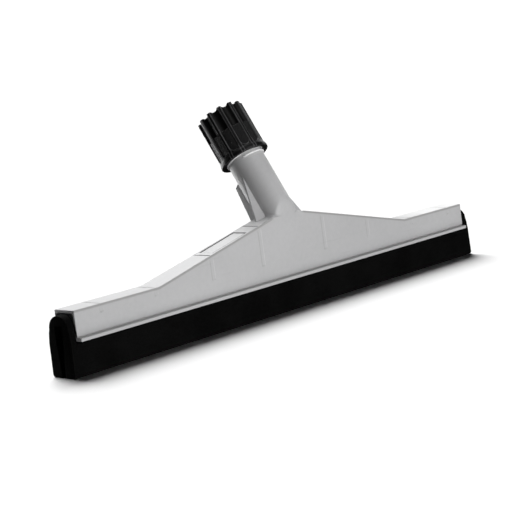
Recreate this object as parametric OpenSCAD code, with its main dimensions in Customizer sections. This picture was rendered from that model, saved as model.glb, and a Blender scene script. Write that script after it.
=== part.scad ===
// Head of a floor squeegee: a moulded plastic frame with a folded moss rubber strip below
// and a tilted neck with a threaded grip nut for a round handle above.
// X runs along the blade, Y from the front plate to the back, Z up from the floor.

/* [Frame] */
// Length of the moulded frame
frame_len = 550; // [450:10:750]
// Depth of the frame over its two walls at the foot
foot_depth = 26; // [25:0.5:34]
// Height of the frame above its foot at the low ends
end_height = 22.4; // [20:0.2:28]
// Height of the crown above the foot, where the slopes meet the neck
crown_height = 57; // [52:1:62]
// Distance from the middle to where the slopes leave the low ends
shoulder_x = 176; // [130:2:190]
// Distance from the middle to where the slopes end at the crown
crown_x = 20; // [18:1:40]
// Thickness of the front and back walls
wall = 2.6; // [2:0.1:3]
// Thickness of the roof
roof = 3; // [2.6:0.1:4]
// How far the front plate leans back for each mm of height
front_lean = 0.037; // [0.02:0.005:0.06]
// How far the back wall leans forward for each mm of height
back_lean = 0.06; // [0.03:0.01:0.1]

/* [Lip] */
// How far the lip stands out from the wall
lip_out = 4.6; // [3:0.2:6]
// Height of the lip below the foot line
lip_height = 3.4; // [2.6:0.2:4]
// Radius of the lip's outer edges
lip_round = 1; // [0.6:0.1:1.3]

/* [Ribs] */
// Thickness of each cross rib
rib_thick = 2; // [1.6:0.1:3]
// Distance from the middle to each pair of ribs
rib_x = [45, 112, 184, 248]; // [40:1:270]
// Height of the ribs' lower edge above the foot line
rib_foot = 15.5; // [14:0.5:17]
// Width of the groove that each rib leaves in the roof
groove_width = 1.2; // [0.8:0.1:2]
// Depth of the groove in the roof
groove_depth = 0.5; // [0.3:0.1:0.8]

/* [Label panel] */
// Distance from the middle to the panel's near end
panel_near = 57; // [50:1:62]
// Distance from the middle to the panel's far end
panel_far = 103; // [90:1:106]
// Bare border between the panel and the roof's long edges
panel_border = 2.4; // [1.6:0.2:4]
// Depth of the panel's recess
panel_depth = 0.6; // [0.3:0.1:1]

/* [Neck] */
// Tilt of the neck back from upright
neck_tilt = 32; // [26:1:36]
// Bore for the handle
bore_d = 28.5; // [24:0.1:30]
// Thickness of the neck's wall round the bore
neck_wall = 3.65; // [3:0.05:4.5]
// Depth of the bore from the neck's tip
bore_depth = 81; // [60:1:84]
// Distance from the foot line to the neck's tip, along the neck's axis
neck_len = 153; // [148:1:170]
// Where the axis meets the foot line, measured back from the front plate
neck_foot_y = -20.3; // [-24:0.5:-16]
// Distance from the foot line to where the neck starts, along its axis
neck_start = 40; // [36:1:52]

/* [Fins] */
// Thickness of the side fins and the back web
fin_thick = 2.2; // [1.8:0.1:3]
// How far a side fin stands out from the neck at its foot
fin_out = 14.8; // [10:0.2:18]
// Height at which the side fins run out, along the neck's axis
fin_top = 111; // [100:1:112]
// How far the back web stands out from the neck at its upper end
web_out = 10.5; // [6:0.5:12]
// Distance from the neck's foot to the web's upper end, along the axis
web_top = 113; // [100:1:114]
// How much farther up the web reaches where it meets the neck
web_rise = 5.2; // [2:0.2:8]

/* [Thread] */
// Pitch of the thread
pitch = 4; // [3:0.5:5]
// How far the neck's thread ridge stands out
thread_height = 1.35; // [1:0.05:1.5]
// Width of a thread ridge at its foot
thread_foot = 1.7; // [1.4:0.1:1.8]
// Width of a thread ridge at its crest
thread_crest = 0.8; // [0.6:0.1:0.9]
// Distance from the nut's rim down to the thread's lower end
thread_below = 3.3; // [1:0.1:5]
// Bare length above the thread that the nut's inner step never reaches
thread_bare = 1.5; // [1.2:0.1:3]
// Direction of the thread's lower end, round the neck from the +X side
thread_start = 211; // [0:1:359]
// Radial clearance between the nut and the neck
thread_gap = 0.35; // [0.3:0.05:0.5]

/* [Grip nut] */
// Length of the nut
nut_len = 50.4; // [46:0.2:56]
// Thickness of the nut's wall at its ribs, outside the thread
nut_wall = 3.9; // [3.4:0.1:5]
// How far the lower rim stands out past the ribs
rim_out = 1.1; // [0.6:0.1:2]
// Height of the rim's straight edge
rim_height = 2.2; // [1.4:0.2:3]
// Height at which the flare meets the ribs
flare_height = 6; // [4:0.5:8]
// Number of ribs round the nut
rib_count = 12; // [8:1:14]
// Width of each rib
nut_rib = 2.8; // [2.2:0.1:3.2]
// Distance from the rim to the pockets' rounded lower ends
pocket_foot = 5.5; // [4:0.5:8]
// Depth of the shallow pockets in the lower half
pocket_depth = 1; // [0.6:0.1:1.2]
// Distance from the rim to the ledge where the deep flutes start
ledge_height = 27.5; // [27:0.5:30]
// Depth of the deep flutes in the upper half
flute_depth = 2.9; // [2:0.1:3]
// Radius of the deep flutes
flute_r = 5.8; // [5:0.1:9]
// Direction of one rib, round the axis from the +X side
rib_start = 226.5; // [0:0.1:360]
// Bevel round the nut's upper end
nut_edge = 0.8; // [0.4:0.1:1.4]
// Radial clearance between a handle of the bore's size and the hole in the nut's upper end
hole_gap = 0.65; // [0.4:0.05:1]
// Thickness of the nut's upper wall at the hole
nut_top = 5; // [4:0.5:6]
// Distance from the foot line to the nut's rim, along the axis
nut_place = 129.2; // [128:0.1:134]

/* [Collet] */
// Radial clearance between a handle of the bore's size and the open collet
collet_gap = 0.1; // [0.05:0.05:0.3]
// Thickness of the collet at its upper end
collet_tip_wall = 1.65; // [1.2:0.05:2]
// Thickness of the collet at its lower end
collet_foot_wall = 3.85; // [3:0.05:4]
// Width of the collet's slot
collet_slot = 6; // [3:0.5:8]
// Gap between the collet and the nut's cone
cone_gap = 0.3; // [0.2:0.05:0.4]
// Distance that the nut can still be screwed down
nut_travel = 3; // [2:0.2:3.4]

/* [Rubber strip] */
// Length that the strip stands out past each end of the frame
strip_over = 8.3; // [4:0.1:14]
// Height of the foot line above the floor
blade_height = 33; // [26:0.5:40]
// How far each blade stands out past the wall above it
blade_out = 0.6; // [0:0.1:2]
// Gap between the blades at their tips
blade_gap = 3; // [2:0.5:5]
// Radius of the blades' outer edges at the floor
tip_round = 3; // [1:0.5:4]
// Gap between the strip and the walls it is pressed against
strip_gap = 0.3; // [0.2:0.05:0.5]
// Radius of the fold's outer corners
fold_round = 8; // [6:0.5:8.5]
// How much the strip swells on each side where it stands out of the frame
end_swell = 2; // [0:0.2:2.4]

/* [Batten and screws] */
// Width of the batten in the fold
batten_width = 8; // [6:0.5:9]
// Height of the batten
batten_height = 8; // [6:0.5:9]
// Height of the batten's lower face above the foot line
batten_foot = 2; // [1:0.5:3]
// Clearance between the batten and the fold
batten_gap = 0.1; // [0.05:0.05:0.3]
// Distance from the middle to each pair of screws
screw_x = [26, 78, 148, 216]; // [20:1:230]
// Diameter of the screws' shafts
screw_d = 3.5; // [3:0.1:4]
// Diameter of the screws' heads
screw_head_d = 6.6; // [6:0.1:7]
// Height of the screws' heads
screw_head = 2; // [1.6:0.1:2.4]
// How far each screw runs up into the frame's roof or its boss
screw_bite = 2; // [1.5:0.1:2.2]
// Diameter of the screw bosses under the raised middle of the roof
boss_d = 8.4; // [7:0.2:10]
// Clearance round the screws
screw_gap = 0.1; // [0.05:0.05:0.3]

/* [Hidden] */
$fn = 96;
eps = 0.01;
past = 5;

grey = "#b4b4b4";
black = "#161616";
rubber_black = "#0c0c0c";
batten_grey = "#8a8a86";
screw_grey = "#b8b8ba";

half_len = frame_len / 2;
bore_r = bore_d / 2;
neck_r = bore_r + neck_wall;
nut_bore_r = neck_r + thread_height + thread_gap;
nut_r = nut_bore_r + nut_wall;
floor_z = -blade_height;

// Inner faces of the front and back walls at a height above the foot line
function front_in(z) = wall + front_lean * z;
function back_in(z) = foot_depth - wall - back_lean * z;

// Height of the roof's top at a distance from the middle
slope = (crown_height - end_height) / (shoulder_x - crown_x);
function top_at(x) =
    x >= shoulder_x ? end_height : x <= crown_x ? crown_height : end_height + slope * (shoulder_x - x);

// The neck's own frame has its origin at the foot line, Z along the axis and X along the blade
module on_neck(along = 0) {
    translate([0, neck_foot_y, 0]) rotate([-neck_tilt, 0, 0]) translate([0, 0, along]) children();
}

// Depth of the whole part, from the front lip to the nut's upper rim
nut_far = neck_foot_y + sin(neck_tilt) * (nut_place + nut_len - nut_edge) + cos(neck_tilt) * nut_r;
middle_y = (nut_far - lip_out) / 2;

// The part stands on the floor with its footprint's middle at the origin
module in_place() {
    translate([0, -middle_y, blade_height]) children();
}

// Points along an arc
function arc(middle, r, from, to, steps = 10) = [
    for (k = [0:steps]) let (a = from + (to - from) * k / steps) middle + r * [cos(a), sin(a)]
];

// A shape drawn with Y across and Z up, drawn out along the blade
module along_blade(length) {
    rotate([90, 0, 90]) linear_extrude(length, center = true) children();
}

// A shape drawn with X across and Z up, drawn out from the front to the back
module front_to_back(from, to) {
    translate([0, to, 0]) rotate([90, 0, 0]) linear_extrude(to - from) children();
}

// Front view of the frame: low ends, slopes and crown
module gable(drop = 0, over = 0, foot = 0) {
    end = half_len + over;
    polygon([
        [-end, foot], [-end, end_height - drop], [-shoulder_x, end_height - drop],
        [-crown_x, crown_height - drop], [crown_x, crown_height - drop],
        [shoulder_x, end_height - drop], [end, end_height - drop], [end, foot]
    ]);
}

// End view of the frame, less a wall on each side, between two heights
module end_view(inset, low, high) {
    polygon([
        [inset + front_lean * low, low], [inset + front_lean * high, high],
        [foot_depth - inset - back_lean * high, high], [foot_depth - inset - back_lean * low, low]
    ]);
}

// Lip along the foot of one wall, rounded at its outer edge
module lip_view() {
    edge = [lip_round - lip_out, lip_round - lip_height];
    polygon(concat(arc(edge, lip_round, 90, 270), [[wall, -lip_height], [wall, 0], [0, 0]]));
}

// The trough's solid outline with its two lips
module trough_outside() {
    intersection() {
        along_blade(frame_len) end_view(0, -lip_height, crown_height);
        front_to_back(-past, foot_depth + past) gable(foot = -lip_height);
    }
    along_blade(frame_len) {
        lip_view();
        translate([foot_depth, 0]) mirror([1, 0]) lip_view();
    }
}

// The space between the trough's walls and under its roof
module trough_inside() {
    intersection() {
        along_blade(frame_len + 2 * past) end_view(wall, -lip_height - past, crown_height);
        front_to_back(-past, foot_depth + past) gable(roof, past, -lip_height - past);
    }
}

// Everything behind the front plate's outer face
module behind_plate(top) {
    along_blade(frame_len) polygon([
        [-front_lean * past, -past], [front_lean * top, top], [top, top], [top, -past]
    ]);
}

// The neck's outer tube, cut flush with the front plate
module neck_outside() {
    intersection() {
        on_neck(neck_start) cylinder(h = neck_len - neck_start, r = neck_r);
        behind_plate(neck_len);
    }
}

// Concave corner between the crown and the neck, on the front plate's face
corner_round = 6;
corner_sink = 4.7;
corner_reach = 12;
module neck_corner() {
    foot = neck_r - corner_sink;
    intersection() {
        front_to_back(0, corner_reach) difference() {
            translate([foot - corner_round, crown_height - roof / 2])
                square([2 * corner_round, corner_round + roof / 2]);
            translate([foot + corner_round, crown_height + corner_round]) circle(corner_round);
        }
        behind_plate(crown_height + 2 * corner_round);
    }
}

// Middle of the roof's thickness at a distance from the middle, measured along the neck's axis
function roof_along(x) = (top_at(x) - roof / 2) / cos(neck_tilt);

// Side fin, from the roof up to where it runs out on the neck
fin_root = 1;
module side_fin() {
    inner = neck_r - fin_root;
    outer = neck_r + fin_out;
    on_neck() rotate([90, 0, 0]) linear_extrude(fin_thick, center = true) polygon([
        [inner, roof_along(inner)], [outer, roof_along(outer)], [neck_r, fin_top], [inner, fin_top]
    ]);
}

// A point in the end view, from its place along the neck's axis and its distance behind the axis
function behind_axis(along, back) = [
    neck_foot_y + along * sin(neck_tilt) + back * cos(neck_tilt),
    along * cos(neck_tilt) - back * sin(neck_tilt)
];

// Web between the neck and the frame's back wall
web_foot = 2;
module back_web() {
    along_blade(fin_thick) polygon([
        [foot_depth - wall, web_foot], [foot_depth - back_lean * web_foot, web_foot],
        behind_axis(web_top, neck_r + web_out), behind_axis(web_top + web_rise, neck_r - fin_root),
        behind_axis(neck_start, 0)
    ]);
}

// Space below the bore's closed end, so that the neck's foot is a tube too
bore_floor = 3;
module neck_core() {
    intersection() {
        on_neck(neck_start - past)
            cylinder(h = neck_len - bore_depth - bore_floor - neck_start + past, r = bore_r);
        trough_inside();
    }
}

// Outline of the fold, which can grow on all sides, and swell at the front and back alone
function fold_points(grow = 0, swell = 0) =
    let (
        r = min(fold_round, (foot_depth - blade_gap) / 2 - wall) + grow + swell,
        low = -lip_height - strip_gap,
        bend = end_height - roof - strip_gap + grow - r,
        inset = strip_gap - grow - swell,
        front = front_in(bend) + inset,
        back = back_in(bend) - inset
    )
    concat(
        [[back_in(low) - inset, low]],
        arc([back - r, bend], r, 0, 90), arc([front + r, bend], r, 90, 180),
        [[front_in(low) + inset, low]]
    );

// End view of the folded strip: the fold above, and the two blades as one block with rounded edges
module strip_view(swell = 0) {
    front = -blade_out;
    back = foot_depth + blade_out;
    high = -lip_height - strip_gap - tip_round;
    low = floor_z + tip_round;
    difference() {
        polygon(concat(
            arc([front + tip_round, low], tip_round, 180, 270),
            arc([back - tip_round, low], tip_round, 270, 360),
            arc([back - tip_round, high], tip_round, 0, 90), fold_points(swell = swell),
            arc([front + tip_round, high], tip_round, 90, 180)
        ));
        blade_gap_view();
    }
}

strip_middle = foot_depth / 2;
strip_length = frame_len + 2 * strip_over;

// Gap between the blades and tunnel for the batten
module blade_gap_view() {
    tip = blade_gap / 2;
    side = batten_width / 2 + batten_gap;
    high = batten_foot + batten_height + batten_gap;
    translate([strip_middle, 0]) polygon([
        [-tip, floor_z - past], [-tip, floor_z + tip_round], [-side, 0], [-side, high],
        [side, high], [side, 0], [tip, floor_z + tip_round], [tip, floor_z - past]
    ]);
}

// Places of the screws along the blade
module at_screws() {
    for (x = screw_x, side = [-1, 1]) translate([side * x, strip_middle, 0]) children();
}

boss_foot = end_height - roof;
screw_tip = boss_foot + screw_bite;

// Round bosses that carry the screws where the roof is high above the fold
module screw_bosses() {
    intersection() {
        at_screws() translate([0, 0, boss_foot]) cylinder(h = crown_height, d = boss_d);
        trough_inside();
    }
}

// Ribs across the trough, cut round over the fold
module cross_ribs() {
    difference() {
        intersection() {
            for (x = rib_x, side = [-1, 1]) translate([side * x - rib_thick / 2, 0, rib_foot])
                cube([rib_thick, foot_depth, crown_height]);
            trough_inside();
        }
        along_blade(frame_len) polygon(fold_points(strip_gap));
    }
}

// Sink lines across the roof above the ribs
module roof_grooves() {
    front_to_back(wall, foot_depth) intersection() {
        difference() {
            gable(-past);
            gable(groove_depth);
        }
        for (x = rib_x, side = [-1, 1])
            translate([side * x - groove_width / 2, 0]) square([groove_width, crown_height + past]);
    }
}

// Bare recess for a label on the left slope
module label_recess() {
    front_to_back(wall + front_lean * crown_height, foot_depth - back_lean * crown_height - panel_border)
        intersection() {
            difference() {
                gable(-past);
                gable(panel_depth);
            }
            translate([-panel_far, 0]) square([panel_far - panel_near, crown_height + past]);
        }
}

// A ridge that climbs round the axis by a length, between its foot and crest radii
thread_steps = 24;
module thread_ridge(foot_r, crest_r, length) {
    outward = sign(crest_r - foot_r);
    rings = round(length / pitch * thread_steps);
    function corner(r, half, k) = let (a = thread_start + 360 * k / thread_steps)
        [r * cos(a), r * sin(a), pitch * k / thread_steps + half];
    points = [for (k = [0:rings]) each [
        corner(foot_r, -outward * thread_foot / 2, k), corner(crest_r, -outward * thread_crest / 2, k),
        corner(crest_r, outward * thread_crest / 2, k), corner(foot_r, outward * thread_foot / 2, k)
    ]];
    sides = [for (k = [0:rings - 1], j = [0:3]) let (a = 4 * k + j, b = 4 * k + (j + 1) % 4)
        each [[a, b, a + 4], [b, b + 4, a + 4]]];
    last = 4 * rings;
    polyhedron(points, concat([[0, 2, 1], [0, 3, 2]], sides,
        [[last, last + 1, last + 2], [last, last + 2, last + 3]]));
}

thread_root = 0.4;
thread_place = nut_place - thread_below;
thread_end = neck_len - nut_travel - thread_bare;
// Thread on the neck's outside, short of its tip
module neck_thread() {
    on_neck(thread_place)
        thread_ridge(neck_r - thread_root, neck_r + thread_height, thread_end - thread_place);
}

// The moulding without its inner ribs and bosses
module frame_shell() {
    difference() {
        union() {
            trough_outside();
            neck_outside();
            neck_thread();
            for (side = [0, 1]) mirror([side, 0, 0]) {
                side_fin();
                neck_corner();
            }
            back_web();
        }
        difference() {
            trough_inside();
            neck_outside();
        }
        neck_core();
        on_neck(neck_len - bore_depth) cylinder(h = bore_depth + past, r = bore_r);
        roof_grooves();
        label_recess();
    }
}

// Moulded frame in one piece: trough, lips, ribs, bosses, neck, fins, web and thread
module frame() {
    color(grey) in_place() difference() {
        union() {
            frame_shell();
            cross_ribs();
            screw_bosses();
        }
        screw_holes();
    }
}

// Clearance holes of the screws
module screw_holes() {
    at_screws() translate([0, 0, -past])
        cylinder(h = screw_tip + past + screw_gap, d = screw_d + 2 * screw_gap);
}

// Moss rubber strip folded over the batten, which makes two blades
module rubber_strip() {
    color(rubber_black) in_place() difference() {
        union() {
            along_blade(strip_length) strip_view();
            for (side = [0, 1]) mirror([side, 0, 0]) translate([half_len + strip_gap, 0, 0])
                rotate([90, 0, 90]) linear_extrude(strip_over - strip_gap) strip_view(end_swell);
        }
        screw_holes();
    }
}

// Stiff batten inside the fold
module core_batten() {
    color(batten_grey) in_place() difference() {
        translate([-half_len, strip_middle - batten_width / 2, batten_foot])
            cube([frame_len, batten_width, batten_height]);
        screw_holes();
    }
}

// Self-tapping screws with pan heads and crossed slots
slot_width = 1.2;
slot_depth = 1;
point_length = 2;
point_d = 1.2;
module batten_screws() {
    slot = [screw_d, slot_width, slot_depth];
    color(screw_grey) in_place() at_screws() difference() {
        translate([0, 0, batten_foot]) {
            translate([0, 0, -screw_head]) cylinder(h = screw_head, d = screw_head_d);
            cylinder(h = screw_tip - batten_foot - point_length, d = screw_d);
            translate([0, 0, screw_tip - batten_foot - point_length])
                cylinder(h = point_length, d1 = screw_d, d2 = point_d);
        }
        for (turn = [0, 90]) translate([0, 0, batten_foot - screw_head + slot_depth / 2])
            rotate([0, 0, turn]) cube(slot + [0, 0, eps], center = true);
    }
}

// The collet sits above the neck's tip by the nut's remaining travel
seat_gap = 0.3;
collet_place = neck_len + nut_travel + seat_gap;
nut_roof_place = nut_place + nut_len - nut_top;
collet_len = nut_roof_place - cone_gap - collet_place;
collet_bore_r = bore_r + collet_gap;

// Split ring that the nut's cone closes on the handle
module collet() {
    foot_r = collet_bore_r + collet_foot_wall;
    color(black) in_place() on_neck(collet_place) difference() {
        cylinder(h = collet_len, r1 = foot_r, r2 = collet_bore_r + collet_tip_wall);
        translate([0, 0, -past]) cylinder(h = collet_len + 2 * past, r = collet_bore_r);
        translate([0, -collet_slot / 2, -past]) cube([2 * foot_r, collet_slot, collet_len + 2 * past]);
    }
}

rib_turn = 360 / rib_count;
pocket_width = 2 * PI * nut_r / rib_count - nut_rib;
cone_slope = (collet_foot_wall - collet_tip_wall) / collet_len;

// Radius of the nut's inner cone at a distance above the collet's foot
function cone_r(above) = collet_bore_r + collet_foot_wall + cone_gap - cone_slope * above;

// Half section of the nut, from the axis outward
module nut_section() {
    cone_foot = neck_len + seat_gap - nut_place;
    cone_top = nut_roof_place - nut_place;
    collet_foot = collet_place - nut_place;
    polygon([
        [nut_bore_r, 0], [nut_r + rim_out, 0], [nut_r + rim_out, rim_height], [nut_r, flare_height],
        [nut_r, nut_len - nut_edge], [nut_r - nut_edge, nut_len], [bore_r + hole_gap, nut_len],
        [bore_r + hole_gap, cone_top], [cone_r(cone_top - collet_foot), cone_top],
        [cone_r(0), collet_foot], [cone_r(0), cone_foot], [nut_bore_r, cone_foot]
    ]);
}

// Shallow pocket with a round lower end, between two ribs
module pocket() {
    r = pocket_width / 2;
    translate([nut_r - pocket_depth, 0, 0]) rotate([90, 0, 90]) linear_extrude(past)
        polygon(concat(arc([0, pocket_foot + r], r, 180, 360), [[r, ledge_height], [-r, ledge_height]]));
}

// Deep flute in the upper half, between two ribs
module flute() {
    translate([nut_r - flute_depth + flute_r, 0, ledge_height]) cylinder(h = nut_len, r = flute_r);
}

// Grip nut with ribs, pockets and flutes outside, a thread and a closing cone inside
nut_thread_len = 12;
module grip_nut() {
    lead = pitch * ceil((thread_below + rim_height) / pitch) + pitch / 2;
    color(black) in_place() {
        on_neck(nut_place) difference() {
            rotate_extrude() nut_section();
            for (k = [0:rib_count - 1]) rotate([0, 0, rib_start + (k + 0.5) * rib_turn]) {
                pocket();
                flute();
            }
        }
        on_neck(thread_place + lead)
            thread_ridge(nut_bore_r + thread_root, neck_r + thread_gap, nut_thread_len);
    }
}

frame();
rubber_strip();
core_batten();
batten_screws();
collet();
grip_nut();
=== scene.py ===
import math

import bmesh
import bpy
import numpy as np
from mathutils import Euler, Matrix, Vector


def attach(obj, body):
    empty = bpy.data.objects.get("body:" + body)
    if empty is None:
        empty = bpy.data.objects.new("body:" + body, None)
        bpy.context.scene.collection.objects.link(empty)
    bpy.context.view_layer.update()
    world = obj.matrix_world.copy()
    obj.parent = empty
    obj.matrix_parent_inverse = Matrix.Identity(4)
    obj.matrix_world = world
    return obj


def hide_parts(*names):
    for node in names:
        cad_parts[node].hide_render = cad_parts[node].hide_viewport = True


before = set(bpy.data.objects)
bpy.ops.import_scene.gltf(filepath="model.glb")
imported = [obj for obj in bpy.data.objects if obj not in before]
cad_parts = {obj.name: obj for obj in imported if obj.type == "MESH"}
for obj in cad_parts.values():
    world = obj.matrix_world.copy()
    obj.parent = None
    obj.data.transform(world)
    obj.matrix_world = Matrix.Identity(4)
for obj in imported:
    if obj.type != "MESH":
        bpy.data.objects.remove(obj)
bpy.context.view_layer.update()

# The frame is one moulding of light grey plastic. A trough with a lip along each foot rises in a
# gable to the middle, where a tilted tube for the handle stands, cut flush with the front plate
# and stiffened by a fin on each side and a web behind. Lengths are in millimetres.
MM = 0.001
MIDDLE_Y = 44.889
FOOT_Z = 33.0
FRAME_LENGTH = 550.0
FRAME_DEPTH = 26.0
END_HEIGHT = 22.4
CROWN_HEIGHT = 57.0
SHOULDER_X = 176.0
CROWN_X = 20.0
SOFT_BEND = 3.0
WALL = 2.6
ROOF = 3.0
FRONT_LEAN = 0.037
BACK_LEAN = 0.06
LIP_OUT = 4.6
LIP_HEIGHT = 3.4
LIP_DROP = 0.35
LIP_ROUND = 0.55
EDGE_ROUND = 0.9
INNER_ROUND = 0.8
CREASE = 0.35
END_ROUND = 0.45
RIBS_X = (45.0, 112.0, 184.0, 248.0)
RIB_FOOT = 15.5
RIB_STEP = 0.6
GROOVE_DEPTH = 0.55
RIB_RAISE = 0.16
RIB_HALF = 1.9
RIB_FLANK = 0.9
GROOVE_HALF = 0.6
GROOVE_FLANK = 0.25
RIB_SHIFT = 3.0
PANEL_NEAR = 57.0
PANEL_FAR = 103.0
PANEL_FRONT = 4.6
PANEL_BACK = 20.4
PANEL_DEPTH = 0.6
PANEL_EDGE = 0.35
LOW_ROWS = (0.6, 4.0, 9.0)
HIGH_ROWS = (0.3, 0.6, 0.85)
ROOF_ROWS = (3.6, PANEL_FRONT, PANEL_FRONT + PANEL_EDGE, 8.5, 12.5, 16.5,
             PANEL_BACK - PANEL_EDGE, PANEL_BACK, 21.2)
STATION_GAP = 5.0
LEAST_GAP = 0.08
RIB_STATIONS = (0.0, 0.34, 0.43, 0.51, 0.61, 1.2, 1.9, 2.35, 2.8)
BEND_STATIONS = (-6.0, -4.0, -2.5, -1.2, 0.0, 1.2, 2.5, 4.0, 6.0)


def row(points):
    """Points in millimetres from the foot line, as points of the part in metres."""
    return (np.asarray(points, float) + (0.0, -MIDDLE_Y, FOOT_Z)) * MM


def smooth(low, high, value):
    """0 below low, 1 above high, and a soft step between them."""
    t = np.clip((np.asarray(value, float) - low) / (high - low), 0.0, 1.0)
    return t * t * (3.0 - 2.0 * t)


def arc(middle, radius, start, end, steps):
    """Points along an arc, its angles in degrees."""
    turn = np.radians(np.linspace(start, end, steps))
    return [(middle[0] + radius * np.cos(a), middle[1] + radius * np.sin(a)) for a in turn]


def loft(name, rings, around=False):
    """A closed skin through rings of equal length. It ends in caps, or joins up all around."""
    rings = np.asarray(rings, float)
    count, size = rings.shape[:2]
    faces = []
    for k in range(count if around else count - 1):
        low, high = k * size, (k + 1) % count * size
        for j in range(size):
            nxt = (j + 1) % size
            faces.append((low + j, low + nxt, high + nxt, high + j))
    if not around:
        faces.append(tuple(reversed(range(size))))
        faces.append(tuple((count - 1) * size + j for j in range(size)))
    mesh = bpy.data.meshes.new(name)
    mesh.from_pydata(row(rings.reshape(-1, 3)).tolist(), [], faces)
    outward(mesh)
    piece = bpy.data.objects.new(name, mesh)
    bpy.context.scene.collection.objects.link(piece)
    return piece


def outward(mesh):
    """Turns every face of a mesh outward."""
    skin = bmesh.new()
    skin.from_mesh(mesh)
    bmesh.ops.recalc_face_normals(skin, faces=skin.faces)
    skin.to_mesh(mesh)
    skin.free()


def roof_height(x):
    """Height of the roof above the foot line, softly bent where a slope starts or ends."""
    rise = (CROWN_HEIGHT - END_HEIGHT) / (SHOULDER_X - CROWN_X)
    from_shoulder, from_crown = [
        0.5 * (t + np.sqrt(t * t + SOFT_BEND**2)) for t in (SHOULDER_X - abs(x), CROWN_X - abs(x))]
    return END_HEIGHT + rise * (from_shoulder - from_crown)


def near_rib(x, half, flank):
    """1 within a half width of a cross rib, falling to 0 over a flank beside it."""
    off = abs(x - RIB_SHIFT)
    return sum(1.0 - smooth(half, half + flank, abs(off - rib)) for rib in RIBS_X)


def trough_section(x, inset):
    """The moulding's section at a place along the blade, drawn in by an inset at its two ends."""
    height = roof_height(x)
    bend = height - EDGE_ROUND
    rib_low, rib_high = RIB_FOOT - RIB_STEP, RIB_FOOT + RIB_STEP
    plate_rows = [*LOW_ROWS, rib_low, rib_high]
    plate_rows += [rib_high + (bend - RIB_FOOT - RIB_STEP) * share for share in HIGH_ROWS]
    raised = RIB_RAISE * near_rib(x, RIB_HALF, RIB_FLANK)
    proud = [raised * smooth(rib_low, rib_high, z) for z in plate_rows]

    def side(lean):
        """One wall from its foot to its top edge, as distances in from the foot and heights."""
        lip = [(WALL - lean * LIP_HEIGHT, -LIP_HEIGHT)]
        lip += arc((LIP_ROUND - LIP_OUT, LIP_ROUND - LIP_HEIGHT), LIP_ROUND, 270, 180, 5)
        lip += arc((LIP_ROUND - LIP_OUT, -LIP_DROP - LIP_ROUND), LIP_ROUND, 180, 100, 5)
        lip += [(-CREASE, -0.45 * CREASE), (CREASE, -0.1 * CREASE)]
        lip += [(CREASE, CREASE), (0.03, 2 * CREASE)]
        wall = [(lean * z - d, z) for z, d in zip(plate_rows, proud)]
        return lip + wall + arc((lean * bend + EDGE_ROUND, bend), EDGE_ROUND, 180, 90, 6)

    front = side(FRONT_LEAN)
    back = [(FRAME_DEPTH - y, z) for y, z in reversed(side(BACK_LEAN))]
    in_panel = smooth(-PANEL_FAR - PANEL_EDGE, -PANEL_FAR, x) * (
        1 - smooth(-PANEL_NEAR, PANEL_EDGE - PANEL_NEAR, x))
    groove = GROOVE_DEPTH * near_rib(x, GROOVE_HALF - GROOVE_FLANK, GROOVE_FLANK)
    top = []
    for y in ROOF_ROWS:
        across = smooth(PANEL_FRONT, PANEL_FRONT + PANEL_EDGE, y) * (
            1 - smooth(PANEL_BACK - PANEL_EDGE, PANEL_BACK, y))
        top.append((y, height - max(groove, PANEL_DEPTH * in_panel * across)))
    ceiling = height - ROOF - INNER_ROUND
    inner_back = FRAME_DEPTH - WALL - BACK_LEAN * ceiling
    inner_front = WALL + FRONT_LEAN * ceiling
    inside = arc((inner_back - INNER_ROUND, ceiling), INNER_ROUND, 0, 90, 4)
    inside += arc((inner_front + INNER_ROUND, ceiling), INNER_ROUND, 90, 180, 4)
    loop = np.array(front + top + back + inside)
    along = np.roll(loop, -1, 0) - np.roll(loop, 1, 0)
    normal = np.stack([along[:, 1], -along[:, 0]], 1) / np.linalg.norm(along, axis=1)[:, None]
    return loop + inset * normal


def stations():
    """Places along the blade for the sections, close together where the shape changes."""
    half = FRAME_LENGTH / 2
    places = list(np.arange(STATION_GAP - half, half - STATION_GAP + 0.1, STATION_GAP))
    for middle in [RIB_SHIFT + s * rib for rib in RIBS_X for s in (-1, 1)]:
        places += [middle + s * off for off in RIB_STATIONS for s in (-1, 1)]
    for bend in (SHOULDER_X, CROWN_X):
        places += [s * bend + off for off in BEND_STATIONS for s in (-1, 1)]
    for end in (-PANEL_FAR - PANEL_EDGE, -PANEL_FAR, -PANEL_NEAR, PANEL_EDGE - PANEL_NEAR):
        places += [end, end - 0.1, end + 0.1]
    places = sorted(set(np.round(places, 3)))
    kept = [places[0]]
    for place in places[1:]:
        if place - kept[-1] > LEAST_GAP:
            kept.append(place)
    turns = np.radians((90, 60, 30, 0))
    start = [(-half + END_ROUND * (1 - math.sin(a)), END_ROUND * (1 - math.cos(a))) for a in turns]
    return start + [(x, 0.0) for x in kept] + [(-x, inset) for x, inset in reversed(start)]


trough = loft("frame_body", [
    [(x, y, z) for y, z in trough_section(x, inset)] for x, inset in stations()])

NECK_TILT = math.radians(32.0)
NECK_FOOT_Y = -20.3
NECK_R = 17.9
BORE_R = 14.25
BORE_FLOOR = 72.0
NECK_TIP = 153.0
NECK_START = 46.0
PLAIN_FROM = 80.0
PLAIN_TO = 124.0
TIP_ROUND = 0.7
FACET_RISE = 0.57459
FACET_BACK = 23.397
FACET_SOFT = 3.0
FACET_FADE = (2.0, 14.0)
LEAST_FORWARD = 0.02
FLARE_ROUND = 2.5
FLARE_SINK = 0.15
FLARE_START = (-2.6, -1.4)
FLARE_FRONT = (-0.3, 0.2)
THREAD_PITCH = 4.0
THREAD_HEIGHT = 1.35
THREAD_FOOT = 0.85
THREAD_CREST = 0.4
THREAD_START = 211.0
THREAD_LOW = 125.9
THREAD_HIGH = 148.5
THREAD_RUN = 14.0
NUT_FOOT = 129.2
NECK_COLUMNS = 144


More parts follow.
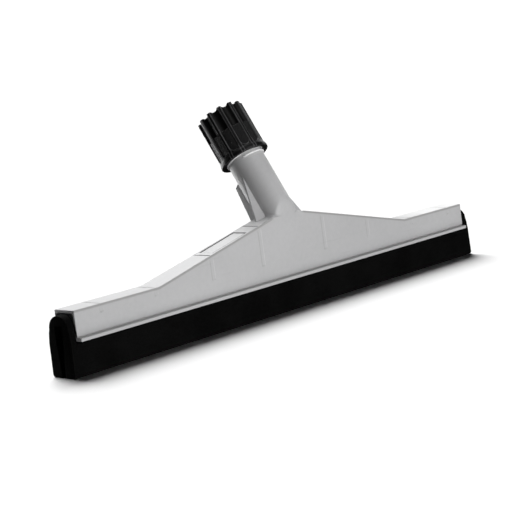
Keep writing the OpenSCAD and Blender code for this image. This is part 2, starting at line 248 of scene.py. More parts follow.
def on_axis(along, radius, angle):
    """A point round the neck's axis: angle 0 is +X and a quarter turn is back and down."""
    sine, cosine = math.sin(NECK_TILT), math.cos(NECK_TILT)
    out = radius * np.sin(angle)
    y = NECK_FOOT_Y + along * sine + out * cosine
    z = along * cosine - out * sine
    return np.stack(np.broadcast_arrays(radius * np.cos(angle), y, z), -1)


def ridge(along, angle, low, high, lead):
    """How much of a thread's ridge there is at a place on a cylinder, from 0 to 1."""
    turn = np.degrees(angle) - THREAD_START
    start = low + lead
    wave = (along - start) / THREAD_PITCH - turn / 360.0
    nearest = np.round(wave)
    off = abs(wave - nearest) * THREAD_PITCH
    climbed = turn / 360.0 + nearest
    run = THREAD_RUN / 360.0
    turns = (high - start) / THREAD_PITCH
    there = smooth(0.0, run, climbed) * (1 - smooth(turns - run, turns, climbed))
    return (1 - smooth(THREAD_CREST, THREAD_FOOT, off)) * there


def neck_radius(along, angle):
    """Outer radius of the neck, which the front plate's plane cuts to a flat with soft edges."""
    radius = NECK_R + THREAD_HEIGHT * ridge(along, angle, THREAD_LOW, THREAD_HIGH, 0.0)
    forward = -np.sin(angle)
    height = along * math.cos(NECK_TILT) + NECK_R * forward * math.sin(NECK_TILT)
    above = (height - roof_height(NECK_R * np.cos(angle))) / math.cos(NECK_TILT)
    turn_in = np.clip(FLARE_ROUND - FLARE_SINK - above, 0.0, FLARE_ROUND)
    flare = (FLARE_ROUND - np.sqrt(FLARE_ROUND**2 - turn_in**2)) * smooth(*FLARE_START, above)
    radius = radius + flare * smooth(*FLARE_FRONT, forward)
    flat = (FACET_RISE * along - FACET_BACK) / np.maximum(forward, LEAST_FORWARD)
    soft = FACET_SOFT * (2.0 - smooth(*FACET_FADE, above))
    mix = np.clip(0.5 + 0.5 * (flat - radius) / soft, 0, 1)
    cut = flat * (1 - mix) + radius * mix - soft * mix * (1 - mix)
    return np.where(forward > LEAST_FORWARD, np.minimum(cut, radius), radius)


def neck_rings():
    """Rings of the neck's tube: up the outside, over the tip and down the bore to its floor."""
    angle = np.linspace(0, 2 * math.pi, NECK_COLUMNS, endpoint=False)

    def rim(radius, turns, inward):
        """Rings of the tip's rounded rim, drawn in from a radius or out from it."""
        return [on_axis(NECK_TIP - TIP_ROUND * (1 - math.sin(turn)),
                        radius - inward * TIP_ROUND * (1 - math.cos(turn)), angle)
                for turn in np.radians(turns)]

    rows = [*np.arange(NECK_START, PLAIN_FROM, 0.5), *np.arange(PLAIN_FROM, PLAIN_TO, 2.0)]
    rows += [*np.arange(PLAIN_TO, 150.0, 0.2), 151.0, NECK_TIP - TIP_ROUND]
    rings = [on_axis(s, neck_radius(s, angle), angle) for s in rows]
    rings += rim(NECK_R, (30, 60, 90), 1) + rim(BORE_R, (90, 60, 30, 0), -1)
    rings += [on_axis(s, BORE_R, angle) for s in (140.0, 120.0, 100.0, 80.0, BORE_FLOOR + 1.0)]
    rings.append(on_axis(BORE_FLOOR, BORE_R - 1.0, angle))
    return rings


neck = loft("neck", neck_rings())

FIN_THICK = 2.2
FIN_OUT = 14.8
FIN_TOP = 111.0
FIN_SINK = 1.0
FIN_ROUND = 0.5
WEB_OUT = 10.5
WEB_TOP = 113.0
WEB_RISE = 5.2
WEB_FOOT = 3.0
WEB_LOW = 66.0
WEB_BEND = 30.0
WEB_SINK = 2.0
WELD = 0.002
SLIVER = 0.001


def plate(name, outline, thickness, rounding):
    """A flat plate from its outline's points, drawn out by a thickness vector, with round edges."""
    outline, thickness = row(outline), np.asarray(thickness, float) * MM
    count = len(outline)
    mesh = bpy.data.meshes.new(name)
    faces = [(j, (j + 1) % count, (j + 1) % count + count, j + count) for j in range(count)]
    faces += [tuple(reversed(range(count))), tuple(range(count, 2 * count))]
    points = np.concatenate([outline - thickness / 2, outline + thickness / 2])
    mesh.from_pydata(points.tolist(), [], faces)
    outward(mesh)
    skin = bmesh.new()
    skin.from_mesh(mesh)
    sharp = [e for e in skin.edges if e.calc_face_angle(0) > math.radians(30)]
    bmesh.ops.bevel(skin, geom=sharp, offset=rounding * MM, segments=3, profile=0.5,
                    affect="EDGES", clamp_overlap=True)
    skin.to_mesh(mesh)
    skin.free()
    piece = bpy.data.objects.new(name, mesh)
    bpy.context.scene.collection.objects.link(piece)
    return piece


def merge(piece, *others):
    """Joins closed solids into one skin and leaves nothing inside it."""
    for other in others:
        union = piece.modifiers.new("union", "BOOLEAN")
        union.operation, union.solver, union.object = "UNION", "EXACT", other
        bpy.context.view_layer.update()
        joined = piece.evaluated_get(bpy.context.evaluated_depsgraph_get())
        shape = bpy.data.meshes.new_from_object(joined)
        piece.modifiers.clear()
        piece.data = shape
        bpy.data.objects.remove(other)
    skin = bmesh.new()
    skin.from_mesh(piece.data)
    bmesh.ops.remove_doubles(skin, verts=skin.verts, dist=WELD * MM)
    bmesh.ops.dissolve_degenerate(skin, edges=skin.edges, dist=SLIVER * MM)
    skin.to_mesh(piece.data)
    skin.free()


def crisp(piece, angle=28.0):
    """Smooth shading that keeps edges sharper than an angle."""
    piece.data.polygons.foreach_set("use_smooth", [True] * len(piece.data.polygons))
    piece.data.set_sharp_from_angle(angle=math.radians(angle))


back_axis = np.array((0.0, math.cos(NECK_TILT), -math.sin(NECK_TILT)))
stiffeners = []
for side in (-1, 1):
    inner, outer = NECK_R - FIN_SINK, NECK_R + FIN_OUT
    feet = [(roof_height(x) - ROOF / 2) / math.cos(NECK_TILT) for x in (inner, outer)]
    outline = [(side * x, *on_axis(s, 0.0, 0.0)[1:]) for x, s in (
        (inner, feet[0]), (outer, feet[1]), (NECK_R, FIN_TOP), (inner, FIN_TOP))]
    stiffeners.append(plate("side_fin", outline, back_axis * FIN_THICK, FIN_ROUND))
web = [
    (0.0, FRAME_DEPTH - WALL / 2, WEB_FOOT),
    (0.0, FRAME_DEPTH - BACK_LEAN * WEB_FOOT, WEB_FOOT),
    on_axis(WEB_TOP, NECK_R + WEB_OUT, math.pi / 2),
    on_axis(WEB_TOP + WEB_RISE, NECK_R - FIN_SINK, math.pi / 2),
    on_axis(WEB_LOW, NECK_R - FIN_SINK, math.pi / 2),
    (0.0, FRAME_DEPTH - WALL / 2 - WEB_SINK, WEB_BEND),
]
stiffeners.append(plate("back_web", web, (FIN_THICK, 0, 0), FIN_ROUND))
merge(trough, neck, *stiffeners)
crisp(trough)


class Field:
    """A value that changes over a surface, written as an expression."""

    def __init__(self, finish, socket):
        self.finish, self.socket = finish, socket

    def maths(self, operation, *terms):
        return self.finish.node("ShaderNodeMath", {"operation": operation}, dict(enumerate(terms)))

    def single(self, operation):
        return self.maths(operation, self)

    def __add__(self, other):
        return self.maths("ADD", self, other)

    def __sub__(self, other):
        return self.maths("SUBTRACT", self, other)

    def __rsub__(self, other):
        return self.maths("SUBTRACT", other, self)

    def __mul__(self, other):
        return self.maths("MULTIPLY", self, other)

    __radd__ = __add__
    __rmul__ = __mul__

    def __abs__(self):
        return self.single("ABSOLUTE")

    def most(self, other):
        return self.maths("MAXIMUM", self, other)

    def near(self, middle, half, soft):
        """1 within a half width of a middle value, falling to 0 over a soft edge."""
        return 1 - abs(self - middle).step(half, half + soft)

    def step(self, low, high):
        """0 where the value is at low and 1 where it is at high, softly between them."""
        return self.finish.node(
            "ShaderNodeMapRange", {"interpolation_type": "SMOOTHSTEP"}, {0: self, 1: low, 2: high})


class Finish:
    """A material for one of the squeegee's surfaces, for the stage or for the air around."""

    def __init__(self, name, world=None, **constants):
        self.material = world or bpy.data.materials.new(name)
        self.material.use_nodes = True
        self.tree = self.material.node_tree
        self.shader = self.tree.nodes["Background" if world else "Principled BSDF"]
        self.place = self.node("ShaderNodeTexCoord", {}, {}, "Object")
        for socket, value in constants.items():
            self.shader.inputs[socket.replace("_", " ")].default_value = value

    def node(self, kind, settings, inputs, out=0):
        made = self.tree.nodes.new(kind)
        for key, value in settings.items():
            setattr(made, key, value)
        for key, value in inputs.items():
            if isinstance(value, Field):
                self.tree.links.new(value.socket, made.inputs[key])
            else:
                made.inputs[key].default_value = value
        return Field(self, made.outputs[out])

    def stretched(self, scale):
        """The object's own coordinates, stretched along its axes."""
        return self.node("ShaderNodeMapping", {}, {"Vector": self.place, "Scale": scale})

    def round_neck(self):
        """Millimetres across, ahead and along the neck's axis, and the distance out from it."""
        foot = (0.0, MIDDLE_Y - NECK_FOOT_Y, -FOOT_Z)
        centred = self.node("ShaderNodeVectorMath", {"operation": "MULTIPLY_ADD"}, {
            0: self.place, 1: (1 / MM, 1 / MM, 1 / MM), 2: foot})
        upright = self.node(
            "ShaderNodeMapping", {}, {"Vector": centred, "Rotation": (NECK_TILT, 0.0, 0.0)})
        aside, ahead, along = [
            self.node("ShaderNodeSeparateXYZ", {}, {0: upright}, k) for k in range(3)]
        return aside, ahead, along, (aside * aside + ahead * ahead).single("SQRT")

    def noise(self, scale, detail=3.0, roughness=0.5, place=None):
        return self.node("ShaderNodeTexNoise", {}, {
            "Vector": place or self.place, "Scale": scale,
            "Detail": detail, "Roughness": roughness})

    def cells(self, scale):
        inputs = {"Vector": self.place, "Scale": scale}
        return self.node("ShaderNodeTexVoronoi", {}, inputs, "Distance")

    def mix(self, share, first, second):
        return self.node("ShaderNodeMix", {"data_type": "RGBA"}, {0: share, 6: first, 7: second}, 2)

    def feed(self, **fields):
        for socket, value in fields.items():
            self.tree.links.new(value.socket, self.shader.inputs[socket.replace("_", " ")])

    def bumps(self, *layers, round_edges=None):
        """Bump layers of (height, distance in mm, strength), over edges rounded by a radius."""
        normal = None
        if round_edges:
            normal = self.node("ShaderNodeBevel", {"samples": 4}, {"Radius": round_edges * MM})
        for height, distance, strength in layers:
            inputs = {"Height": height, "Distance": distance * MM, "Strength": strength}
            if normal:
                inputs["Normal"] = normal
            normal = self.node("ShaderNodeBump", {}, inputs)
        self.feed(Normal=normal)


def dress(piece, finish):
    """Gives a piece one finish in every material slot."""
    piece.data.materials.clear()
    piece.data.materials.append(finish.material)


GREY_LIGHT = (0.47, 0.47, 0.475, 1.0)
GREY_DARK = (0.40, 0.40, 0.405, 1.0)
# The next four colours paint light and shade: a dark grey paints shade and also marks scuffs, a
# near white paints highlights, a near black paints shade in lines on the roof, and a pale grey
# paints light on the roof's right end.
GREY_SCUFF_AND_SHADE = (0.27, 0.267, 0.264, 1.0)
GREY_PAINTED_HIGHLIGHT = (0.85, 0.85, 0.85, 1.0)
GREY_PAINTED_LINE_SHADE = (0.05, 0.05, 0.05, 1.0)
GREY_PAINTED_ROOF_LIGHT = (0.62, 0.62, 0.62, 1.0)
ROOF_BACK = 24.0
FAINT_FROM = 150.0
FAINT = 0.45
grey = Finish("grey_moulded_plastic", IOR=1.49, Specular_IOR_Level=0.5)
tone = grey.noise(9.0, 2.0)
mottle = grey.noise(260.0, 4.0, 0.6)
flow = grey.noise(55.0, 3.0, 0.6, grey.stretched((0.15, 1.0, 1.0)))
scuffs = grey.noise(420.0, 2.0, 0.4, grey.stretched((0.06, 1.0, 1.0))).step(0.68, 0.8)
grain = grey.noise(2600.0, 2.0, 0.5)
millimetres = grey.node("ShaderNodeVectorMath", {"operation": "MULTIPLY_ADD"}, {
    0: grey.place, 1: (1 / MM, 1 / MM, 1 / MM), 2: (0.0, MIDDLE_Y, -FOOT_Z)})
x, y, z = [grey.node("ShaderNodeSeparateXYZ", {}, {0: millimetres}, k) for k in range(3)]
away = abs(x)
steepness = (CROWN_HEIGHT - END_HEIGHT) / (SHOULDER_X - CROWN_X)
climb = (SHOULDER_X - away).most(0.0) - (CROWN_X - away).most(0.0)
below_roof = END_HEIGHT + climb * steepness - z
inward = y - z * FRONT_LEAN
on_plate = 1 - inward.step(0.5, 1.0)
on_roof = inward.step(0.6, 1.4) * below_roof.near(0.0, 1.2, 0.4) * (
    1 - y.step(ROOF_BACK - 0.4, ROOF_BACK + 0.4))
# Painted shade along the front plate's top edge, away from the neck.
edge_painted_shade = on_plate * below_roof.near(1.0, 0.5, 0.9) * away.step(19.0, 24.0) * z.step(12.0, 14.0)
from_middle = x - RIB_SHIFT
to_right = from_middle.single("SIGN")
rib_painted_highlight, rib_painted_shade, groove_painted_shade = 0, 0, 0
# Beside each rib ridge on the plate: a painted highlight on one flank and painted shade on the
# other, and painted shade along its groove on the roof.
for rib in RIBS_X:
    off = (abs(from_middle) - rib) * to_right
    strong = 1.0 if rib < FAINT_FROM else FAINT
    rib_painted_highlight = off.near(2.3, 0.25, 0.5) * strong + rib_painted_highlight
    rib_painted_shade = off.near(-2.0, 0.3, 0.6) * strong + rib_painted_shade
    groove_painted_shade = off.near(0.0, 0.6, 0.3) * strong + groove_painted_shade
over_rib = on_plate * z.step(RIB_FOOT - 1.0, RIB_FOOT + 1.5) * below_roof.step(1.5, 6.0)
at_ribs = sum((abs(from_middle) - rib).near(0.0, 1.5, 1.5) for rib in RIBS_X)
# Painted shade in patches at the foot of each rib ridge on the plate.
rib_foot_painted_shade = at_ribs * on_plate * z.near(RIB_FOOT, 0.4, 0.9) * mottle.step(0.35, 0.65)
panel_x = abs(x + (PANEL_NEAR + PANEL_FAR) / 2) - (PANEL_FAR - PANEL_NEAR) / 2
panel_y = abs(y - (PANEL_FRONT + PANEL_BACK) / 2) - (PANEL_BACK - PANEL_FRONT) / 2
# Painted shade round the edges of the recessed label panel on the roof.
panel_edge_painted_shade = panel_x.most(panel_y).near(0.0, 0.5, 0.4)
along, out = grey.round_neck()[2:]
under_nut = along.step(NUT_FOOT + 1.0, NUT_FOOT + 2.0)
bare_thread = along.step(THREAD_LOW - 1.0, THREAD_LOW) * (1 - under_nut)
# A painted highlight on the bare thread's ridge below the nut.
thread_painted_highlight = out.step(NECK_R + 0.3, NECK_R + 0.8) * bare_thread
shade = grey.mix(tone.step(0.25, 0.75) * 0.6 + mottle.step(0.3, 0.7) * 0.25, GREY_LIGHT, GREY_DARK)
# Painted light: the roof turns paler towards its right end.
roof_end_painted_light = on_roof * x.step(SHOULDER_X - 10.0, SHOULDER_X + 60.0)
with_painted_roof_light = grey.mix(roof_end_painted_light, shade, GREY_PAINTED_ROOF_LIGHT)
# The near white colour is a painted highlight on one flank of each plate ridge and on the bare
# thread.
with_painted_highlights = grey.mix((over_rib * rib_painted_highlight * 0.2).most(thread_painted_highlight), with_painted_roof_light, GREY_PAINTED_HIGHLIGHT)
# Painted shade in the crease above each lip, along the plate's top edge, on one flank of each rib
# ridge and at the ridges' feet. The scuffs mixed in are real wear.
crease_painted_shade = z.near(0.0, 0.3, 1.0) * 0.5 + edge_painted_shade * 0.7 + over_rib * rib_painted_shade * 0.35
scuffed_and_shaded = grey.mix(crease_painted_shade + rib_foot_painted_shade * 0.5 + scuffs * 0.12, with_painted_highlights, GREY_SCUFF_AND_SHADE)
# Near black painted shade in the roof's grooves and round the label panel.
painted_line_shade = on_roof * (groove_painted_shade * 0.8).most(panel_edge_painted_shade * 0.9)
grey.feed(
    Base_Color=grey.mix(painted_line_shade, scuffed_and_shaded, GREY_PAINTED_LINE_SHADE),
    Roughness=0.36 + flow * 0.14 + mottle * 0.08 + scuffs * 0.1,
)
grey.bumps((flow, 0.25, 0.25), (grain, 0.03, 0.35), round_edges=0.5)
dress(trough, grey)
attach(trough, "frame")
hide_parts("frame")

# The rubber is one strip of black moss rubber, folded over the batten into two soft blades that
# stand side by side. Inside the trough it is squeezed, and past each end of the frame it swells.
STRIP_OVER = 8.3
STRIP_END = FRAME_LENGTH / 2 + STRIP_OVER
STRIP_TOP = 19.1
FLOOR = -33.0
BLADE_OUT = 0.6
BLADE_ROUND = 3.0
GAP_HALF = 1.5
TUNNEL_HALF = 4.1
TUNNEL_TOP = 10.1
FOLD_ROUND = 8.0
FREE_ROUND = 11.6
SWELL_LENGTH = 2.4
CUT_ROUND = 0.5
CUT_LEAN = 0.1
END_DROP = 0.13
TIP_CHAMFER = 0.4
TIP_FLAT = 9.0
FIT = 0.3
HELD_ZONE = (-9.0, -4.5)


def strip_half(free):
    """Half of the strip's section, from the slit's foot to the fold's top, out from its middle."""
    middle, side = FRAME_DEPTH / 2, FRAME_DEPTH / 2 + BLADE_OUT
    shoulder = -LIP_HEIGHT - FIT
    low, high = FLOOR + BLADE_ROUND, shoulder - BLADE_ROUND
    points = [(GAP_HALF, FLOOR + TIP_CHAMFER), (GAP_HALF + TIP_CHAMFER, FLOOR)]
    points += [(GAP_HALF + share * TIP_FLAT, FLOOR) for share in (0.35, 0.7)]
    points += [(side - BLADE_ROUND + y, low + z) for y, z in arc((0, 0), BLADE_ROUND, 270, 360, 7)]
    points += [(side, z) for z in np.linspace(low, high, 9)[1:-1]]
    held = [(side - BLADE_ROUND + y, high + z) for y, z in arc((0, 0), BLADE_ROUND, 0, 90, 6)]
    wall = middle - WALL - FIT
    held += [(wall + 0.1, shoulder), (wall, 0.0), (wall - 0.2, 5.0)]
    held += arc((wall - 0.4 - FOLD_ROUND, STRIP_TOP - FOLD_ROUND), FOLD_ROUND, 0, 90, 11)
    loose = [(side, z) for z in np.linspace(high, shoulder, 6)]
    loose += [(side - 0.15, shoulder + 1.0), (side - 0.5, 0.5), (side - 1.1, 4.5)]
    loose += arc((0.0, STRIP_TOP - FREE_ROUND), FREE_ROUND, 0, 82, 11)
    both = [tuple(np.array(h) * (1 - free) + np.array(f) * free) for h, f in zip(held, loose)]
    return points + both


def strip_section(x):
    """The folded strip's whole section at a place along the blade."""
    mouth = FRAME_LENGTH / 2 + FIT
    free = float(smooth(mouth, mouth + SWELL_LENGTH, abs(x)))
    right = strip_half(free)
    left = [(-y, z) for y, z in reversed(right)]
    slit = [(-GAP_HALF, FLOOR + 4.0), (-TUNNEL_HALF, 0.0), (-TUNNEL_HALF, TUNNEL_TOP)]
    slit += [(-y, z) for y, z in reversed(slit)]
    loop = np.array(right + left + slit)
    if x > 0:
        loop[:, 1] = np.where(loop[:, 1] > 0, loop[:, 1] * (1 - END_DROP * free), loop[:, 1])
    cut = CUT_ROUND - min(CUT_ROUND, STRIP_END - abs(x))
    inset = CUT_ROUND - math.sqrt(max(CUT_ROUND**2 - cut**2, 0.0))
    along = np.roll(loop, -1, 0) - np.roll(loop, 1, 0)
    normal = np.stack([-along[:, 1], along[:, 0]], 1) / np.linalg.norm(along, axis=1)[:, None]
    loop = loop + normal * inset
    ripple = 0.1 * np.sin(x * 0.051 + 1.0) + 0.06 * np.sin(x * 0.173)
    ripple = ripple + 0.04 * np.sin(x * 0.41 + loop[:, 1] * 0.3)
    hanging = 1 - smooth(*HELD_ZONE, loop[:, 1])
    outside = (abs(loop[:, 0]) > GAP_HALF + 1.0) * (loop[:, 1] > FLOOR + 0.1)
    loop[:, 0] -= np.sign(loop[:, 0]) * np.abs(ripple) * hanging * outside
    leaning = CUT_LEAN * smooth(FRAME_LENGTH / 2, STRIP_END, x)
    return [(x - leaning * min(z, 0.0), y + FRAME_DEPTH / 2, z) for y, z in loop]


ends = [STRIP_END - back for back in (0.0, 0.05, 0.18, 0.32, CUT_ROUND, 1.5, 3.5)]
ends += [FRAME_LENGTH / 2 + FIT + share * SWELL_LENGTH for share in (1.0, 0.8, 0.6, 0.4, 0.2, 0.0)]
places = [-x for x in ends] + list(np.linspace(-FRAME_LENGTH / 2, FRAME_LENGTH / 2, 121))
rubber = loft("rubber_blades", [strip_section(x) for x in places + ends[::-1]])
crisp(rubber, 40.0)

RUBBER_BLACK = (0.0005, 0.0005, 0.0005, 1.0)
RUBBER_GREY = (0.0045, 0.0045, 0.0045, 1.0)
foam = Finish("moss_rubber", IOR=1.5, Specular_IOR_Level=0.02)
pores = foam.cells(900.0)
fine_pores = foam.cells(2300.0)
skin_wave = foam.noise(70.0, 3.0, 0.6)
patches = foam.noise(22.0, 3.0, 0.6)
across = abs(foam.node("ShaderNodeSeparateXYZ", {}, {0: foam.place}, 0))
cut_face = across.step((STRIP_END - 0.4) * MM, (STRIP_END - 0.1) * MM)
greyed = patches.step(0.35, 0.7) * 0.35 + pores.step(0.3, 0.6) * 0.4
foam.feed(
    Base_Color=foam.mix(greyed, RUBBER_BLACK, RUBBER_GREY),
    Roughness=0.62 + skin_wave * 0.16 + cut_face * 0.15,
)
open_pores = (pores.step(0.0, 0.5), 0.12, 0.25 + 0.55 * cut_face)
foam.bumps((skin_wave, 0.4, 0.3), open_pores, (fine_pores, 0.05, 0.35))
dress(rubber, foam)
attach(rubber, "frame")
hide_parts("rubber_strip")

# The batten is a square bar of grey plastic inside the fold, and pan head screws of zinc-coated
# steel pull it up against the moulding's bosses.
BATTEN_DARK = (0.22, 0.22, 0.21, 1.0)
BATTEN_LIGHT = (0.27, 0.27, 0.26, 1.0)
ZINC_BRIGHT = (0.62, 0.62, 0.63, 1.0)
ZINC_WORN = (0.48, 0.48, 0.47, 1.0)
batten_finish = Finish("batten_plastic", IOR=1.49)
drawn = batten_finish.noise(160.0, 4.0, 0.6, batten_finish.stretched((0.05, 1.0, 1.0)))
batten_finish.feed(
    Base_Color=batten_finish.mix(drawn.step(0.3, 0.7), BATTEN_DARK, BATTEN_LIGHT),
    Roughness=0.45 + drawn * 0.15,
)
batten_finish.bumps((drawn, 0.05, 0.4))
dress(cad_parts["core_batten"], batten_finish)

zinc = Finish("zinc_coat", Metallic=1.0)
crystals = zinc.cells(1500.0)
wear = zinc.noise(500.0, 4.0, 0.6)
zinc.feed(
    Base_Color=zinc.mix(wear.step(0.35, 0.7), ZINC_BRIGHT, ZINC_WORN),
    Roughness=0.28 + crystals * 0.15 + wear * 0.1,
)
zinc.bumps((wear, 0.02, 0.3))
dress(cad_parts["batten_screws"], zinc)

# The collet is a split ring of smooth black plastic between the neck's tip and the nut's cone.
# It closes on the handle when the nut is screwed down.
COLLET_BLACK = (0.014, 0.014, 0.014, 1.0)
COLLET_GREY = (0.024, 0.024, 0.025, 1.0)
collet_finish = Finish("collet_plastic", IOR=1.49)
smear = collet_finish.noise(120.0, 4.0, 0.6)
collet_finish.feed(
    Base_Color=collet_finish.mix(smear, COLLET_BLACK, COLLET_GREY),
    Roughness=0.3 + smear * 0.2,
)
collet_finish.bumps((smear, 0.03, 0.3), (collet_finish.noise(1800.0), 0.02, 0.3))
dress(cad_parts["collet"], collet_finish)

# The grip nut is moulded in black plastic. Its ribs stand between deep flutes in the upper half
# and shallow hatched pockets below, and a flared rim closes its foot. It screws onto the neck.
NUT_LEN = 50.4
NUT_R = 23.5
RIM_R = 24.6
RIM_HEIGHT = 2.2
RIM_ROUND = 0.5
FLARE_TOP = 6.0
RIB_COUNT = 12
RIB_START = 226.5
RIB_WIDTH = 2.8
POCKET_FOOT = 5.5
POCKET_DEPTH = 1.0
POCKET_EDGE = (-0.45, 0.2)
LEDGE = 27.5
LEDGE_SOFT = 0.35
FLUTE_DEPTH = 2.9
FLUTE_R = 5.8
FLUTE_SOFT = 0.02
FLUTE_LIFT = 0.1414
NUT_BORE_R = 19.6
NUT_HOLE_R = 14.9
HOLE_ROUND = 0.8
NUT_THREAD_LENGTH = 22.0
NUT_THREAD_LEAD = 10.0
TOP_ROUND = 1.0
TOP_DIP = 1.6
DIP_START = 1.0
DIP_END = 2.6
PIP_HEIGHT = 13.3
PIP_ANGLE = 210.5
PIP_R = 0.75
PIP_OUT = 0.45
RIB_COLUMNS = 36
CONE = ((14.9, 45.4), (16.26, 45.4), (18.5, 27.1), (18.5, 24.1), (19.6, 24.1))


def nut_radius(height, angle):
    """Outer radius of the nut with its ribs, flutes and pockets."""
    flare = 1 - smooth(RIM_HEIGHT, FLARE_TOP, height)
    base = NUT_R + (RIM_R - NUT_R) * flare
    share = 2 * math.pi / RIB_COUNT
    off = np.mod(angle - math.radians(RIB_START), share) - share / 2
    beside = np.abs(off) * NUT_R
    half = (share * NUT_R - RIB_WIDTH) / 2
    below = min(height - POCKET_FOOT - half, 0.0)
    pocket = POCKET_DEPTH * (1 - smooth(*POCKET_EDGE, np.hypot(beside, below) - half))
    middle = NUT_R - FLUTE_DEPTH + FLUTE_R
    reach = np.maximum(FLUTE_R**2 - (middle * np.sin(off)) ** 2, 0.0)
    bottom = np.where(reach > 0, middle * np.cos(off) - np.sqrt(reach), NUT_R)
    flute = np.maximum(NUT_R - np.minimum(bottom, NUT_R), 0.0)
    flute = np.sqrt(flute**2 + FLUTE_SOFT) - FLUTE_LIFT
    upper = float(smooth(LEDGE - LEDGE_SOFT, LEDGE + LEDGE_SOFT, height))
    beside_pip = (angle - math.radians(PIP_ANGLE)) * NUT_R
    pip = PIP_OUT * (1 - smooth(0.3 * PIP_R, PIP_R, np.hypot(beside_pip, height - PIP_HEIGHT)))
    return base - pocket * (1 - upper) - flute * upper + pip


def nut_rings():
    """Rings of the nut: up the outside, over the top and down the cone and the thread."""
    angle = np.linspace(0, 2 * math.pi, RIB_COUNT * RIB_COLUMNS, endpoint=False)
    rings = []
    for turn in np.radians((-90, -60, -30, 0)):
        radius = nut_radius(0.0, angle) - RIM_ROUND * (1 - math.cos(turn))
        rings.append(on_axis(NUT_FOOT + RIM_ROUND * (1 + math.sin(turn)), radius, angle))
    rows = [1.3, 1.9, RIM_HEIGHT + 0.1, *np.arange(2.8, 14.6, 0.3), *np.arange(14.8, 26.5, 1.2)]
    rows += [26.8, 27.1, 27.3, 27.5, 27.7, 27.9, 28.3, *np.arange(29.0, 48.5, 1.6)]
    rings += [on_axis(NUT_FOOT + t, nut_radius(t, angle), angle) for t in rows]
    outer = nut_radius(NUT_LEN, angle)
    sunk = TOP_DIP * smooth(DIP_START, DIP_END, NUT_R - outer)
    for turn in np.radians((0, 22, 45, 67, 90)):
        height = NUT_FOOT + NUT_LEN - sunk - TOP_ROUND * (1 - math.sin(turn))
        rings.append(on_axis(height, outer - TOP_ROUND * (1 - math.cos(turn)), angle))
    outer = outer - TOP_ROUND
    for share in (0.35, 0.7):
        radius = outer + share * (NUT_HOLE_R + HOLE_ROUND - outer)
        rings.append(on_axis(NUT_FOOT + NUT_LEN - sunk + (sunk - TOP_DIP) * share, radius, angle))
    for turn in np.radians((90, 45, 0)):
        height = NUT_FOOT + NUT_LEN - TOP_DIP - HOLE_ROUND * (1 - math.sin(turn))
        rings.append(on_axis(height, NUT_HOLE_R + HOLE_ROUND * (1 - math.cos(turn)), angle))
    rings += [on_axis(NUT_FOOT + t, np.full_like(angle, r), angle) for r, t in CONE]
    thread_top = THREAD_LOW + NUT_THREAD_LENGTH
    for t in [*np.arange(22.0, 3.4, -0.3), 2.0, 0.8]:
        thread = ridge(NUT_FOOT + t, angle, THREAD_LOW, thread_top, NUT_THREAD_LEAD)
        rings.append(on_axis(NUT_FOOT + t, NUT_BORE_R - THREAD_HEIGHT * thread, angle))
    rings.append(on_axis(NUT_FOOT, NUT_BORE_R + 0.6, angle))
    return rings


nut = loft("grip_nut_body", nut_rings(), around=True)
crisp(nut, 50.0)

NUT_BLACK = (0.002, 0.002, 0.002, 1.0)
NUT_WORN = (0.013, 0.013, 0.014, 1.0)
# The next colour is a painted highlight for the nut's edges.
NUT_PAINTED_HIGHLIGHT = (0.09, 0.09, 0.092, 1.0)
HATCH_AROUND = 240.0
HATCH_ALONG = 2.6
black = Finish("black_moulded_plastic", IOR=1.5, Specular_IOR_Level=0.23)
aside, ahead, along, out = black.round_neck()
level = along - NUT_FOOT
turned = ahead.maths("ARCTAN2", ahead, aside)
low_part = 1 - level.step(LEDGE - 0.8, LEDGE - 0.4)
in_pocket = (1 - out.step(NUT_R - 0.7, NUT_R - 0.45)) * low_part * level.step(3.0, 5.0)
pocket_rim = out.near(NUT_R - 0.5, 0.25, 0.2) * level.step(4.0, 5.0)
from_start = turned - math.radians(RIB_START - 360.0)
from_rib = from_start.maths("PINGPONG", from_start, math.radians(180.0 / RIB_COUNT)) * NUT_R
rib_edge = from_rib.near(RIB_WIDTH / 2, 0.28, 0.35) * out.step(NUT_R - 0.5, NUT_R - 0.2)
hatch = (turned * HATCH_AROUND + level * HATCH_ALONG).single("SINE")
cross = (turned * HATCH_AROUND - level * HATCH_ALONG).single("SINE")
smudge = black.noise(75.0, 4.0, 0.6)
nut_grain = black.noise(2200.0, 2.0, 0.5)
worn = out.step(NUT_R - 0.25, NUT_R + 0.05) * smudge.step(0.35, 0.7)
# A painted highlight along the ribs' edges and round the pockets' rims.
edge_painted_highlight = (pocket_rim * 0.5).most(rib_edge * 0.8)
face = black.mix(worn * 0.3 + in_pocket * 0.25, NUT_BLACK, NUT_WORN)
black.feed(
    Base_Color=black.mix(edge_painted_highlight, face, NUT_PAINTED_HIGHLIGHT),
    Roughness=0.3 + smudge * 0.16 + in_pocket * 0.16 - edge_painted_highlight * 0.1,
)
black.bumps((smudge, 0.1, 0.2), ((hatch + cross) * in_pocket, 0.12, 0.5), (nut_grain, 0.02, 0.3))
dress(nut, black)
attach(nut, "grip_nut")
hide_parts("grip_nut")

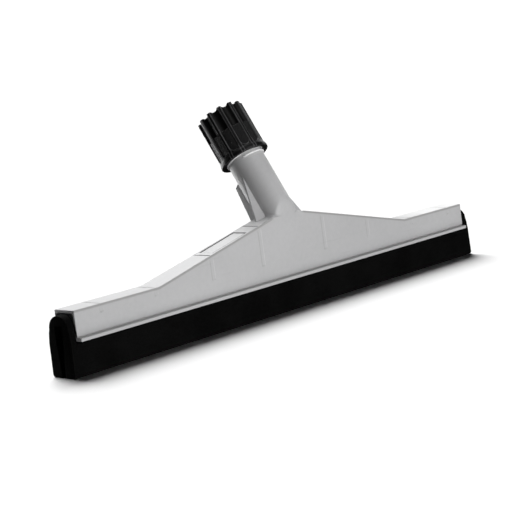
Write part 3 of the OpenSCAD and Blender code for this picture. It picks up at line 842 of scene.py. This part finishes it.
# The stage is a plain white floor inside a white ring that only the camera sees, in metres. Four
# soft suns light the squeegee and a fifth lights the floor, which the rubber alone shades. A
# bright curved wall behind the squeegee shows only in reflections.
FLOOR_R = 8.0
RING_HIGH = 5.0
WALL_R = 1.6
WALL_HIGH = 1.6
WALL_HEADING = 41.6
WALL_HALF = 38.0
SHEET_STEPS = 96
FLOOR_DARK = (0.88, 0.88, 0.88, 1.0)
FLOOR_LIGHT = (0.92, 0.92, 0.92, 1.0)
GLOW_DARK = (0.98, 0.98, 0.98, 1.0)
GLOW_LIGHT = (1.0, 1.0, 1.0, 1.0)
NO_COLOUR = (0.0, 0.0, 0.0, 1.0)
LENS = 113.53
CAMERA_PLACE = (-1.12161, -1.02686, 0.27779)
CAMERA_TURN = (81.40088, 6.04091, -48.36283)


def sheet(name, levels, start=0.0, turn=360.0):
    """A sheet round the middle through (radius, height) in metres, over a turn in degrees."""
    angles = np.radians(np.linspace(start, start + turn, SHEET_STEPS + 1))
    points = [(r * math.cos(a), r * math.sin(a), z) for r, z in levels for a in angles]
    size = len(angles)
    corners = [size * k + j for k in range(len(levels) - 1) for j in range(SHEET_STEPS)]
    faces = [(c, c + 1, c + size + 1, c + size) for c in corners]
    made = bpy.data.meshes.new(name)
    made.from_pydata(points, [], faces)
    thing = bpy.data.objects.new(name, made)
    bpy.context.scene.collection.objects.link(thing)
    thing.visible_diffuse = thing.visible_glossy = False
    thing.visible_transmission = thing.visible_shadow = False
    return thing


def glowing(thing, strength):
    """Makes a sheet of the stage glow softly white."""
    glow = Finish(
        thing.name, Emission_Strength=strength, Base_Color=NO_COLOUR, Specular_IOR_Level=0.0)
    glow.feed(Emission_Color=glow.mix(glow.noise(0.5), GLOW_DARK, GLOW_LIGHT))
    dress(thing, glow)


ground = sheet("white_floor", ((0.001, 0.0), (1.0, 0.0), (FLOOR_R, 0.0)))
white = Finish("white_floor", Roughness=0.9, Specular_IOR_Level=0.0)
white.feed(Base_Color=white.mix(white.noise(1.5), FLOOR_DARK, FLOOR_LIGHT))
dress(ground, white)
glowing(sheet("white_ring", ((FLOOR_R, -0.2), (FLOOR_R, RING_HIGH), (0.001, RING_HIGH))), 1.2)
reflected = sheet(
    "bright_wall", ((WALL_R, 0.0), (WALL_R, WALL_HIGH)), WALL_HEADING - WALL_HALF, 2 * WALL_HALF)
glowing(reflected, 1.4)
reflected.visible_camera, reflected.visible_glossy = False, True


def group(name, things):
    """A named set of objects for the lights."""
    made = bpy.data.collections.new(name)
    for thing in things:
        made.objects.link(thing)
    return made


def soft_sun(name, towards, strength, spread, lit, shaders=None):
    """A sun-like light from a direction on a set of things, soft by its spread in degrees."""
    lamp = bpy.data.lights.new(name, "SUN")
    lamp.energy, lamp.angle = strength, math.radians(spread)
    holder = bpy.data.objects.new(name, lamp)
    holder.rotation_euler = Vector(towards).to_track_quat("Z", "Y").to_euler()
    holder.light_linking.receiver_collection = lit
    holder.light_linking.blocker_collection = shaders
    bpy.context.scene.collection.objects.link(holder)


squeegee = group("squeegee", [trough, rubber, nut, *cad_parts.values()])
soft_sun("back_key", (0.16, 0.48, 0.86), 4.1, 30.0, squeegee)
soft_sun("front_fill", (-0.03, -0.956, 0.292), 2.15, 50.0, squeegee)
soft_sun("table_bounce", (0.0, -0.8, -0.6), 1.6, 60.0, squeegee)
soft_sun("wall_glow", (0.0, 0.95, -0.3), 2.0, 50.0, squeegee)
soft_sun("floor_lamp", (0.3, 0.62, 0.76), 5.0, 42.0,
         group("floor", [ground]), group("strip", [rubber]))

air = Finish("studio_air", bpy.data.worlds.new("studio_air"), Color=GLOW_LIGHT, Strength=0.015)
bpy.context.scene.world = air.material
bpy.context.scene.view_settings.view_transform = "Standard"

lens = bpy.data.cameras.new("camera")
lens.lens = LENS
lens.sensor_width = 36.0
lens.clip_start, lens.clip_end = 0.05, 50.0
camera = bpy.data.objects.new("camera", lens)
camera.location = CAMERA_PLACE
camera.rotation_euler = Euler([math.radians(a) for a in CAMERA_TURN], "XYZ")
bpy.context.scene.collection.objects.link(camera)
bpy.context.scene.camera = camera
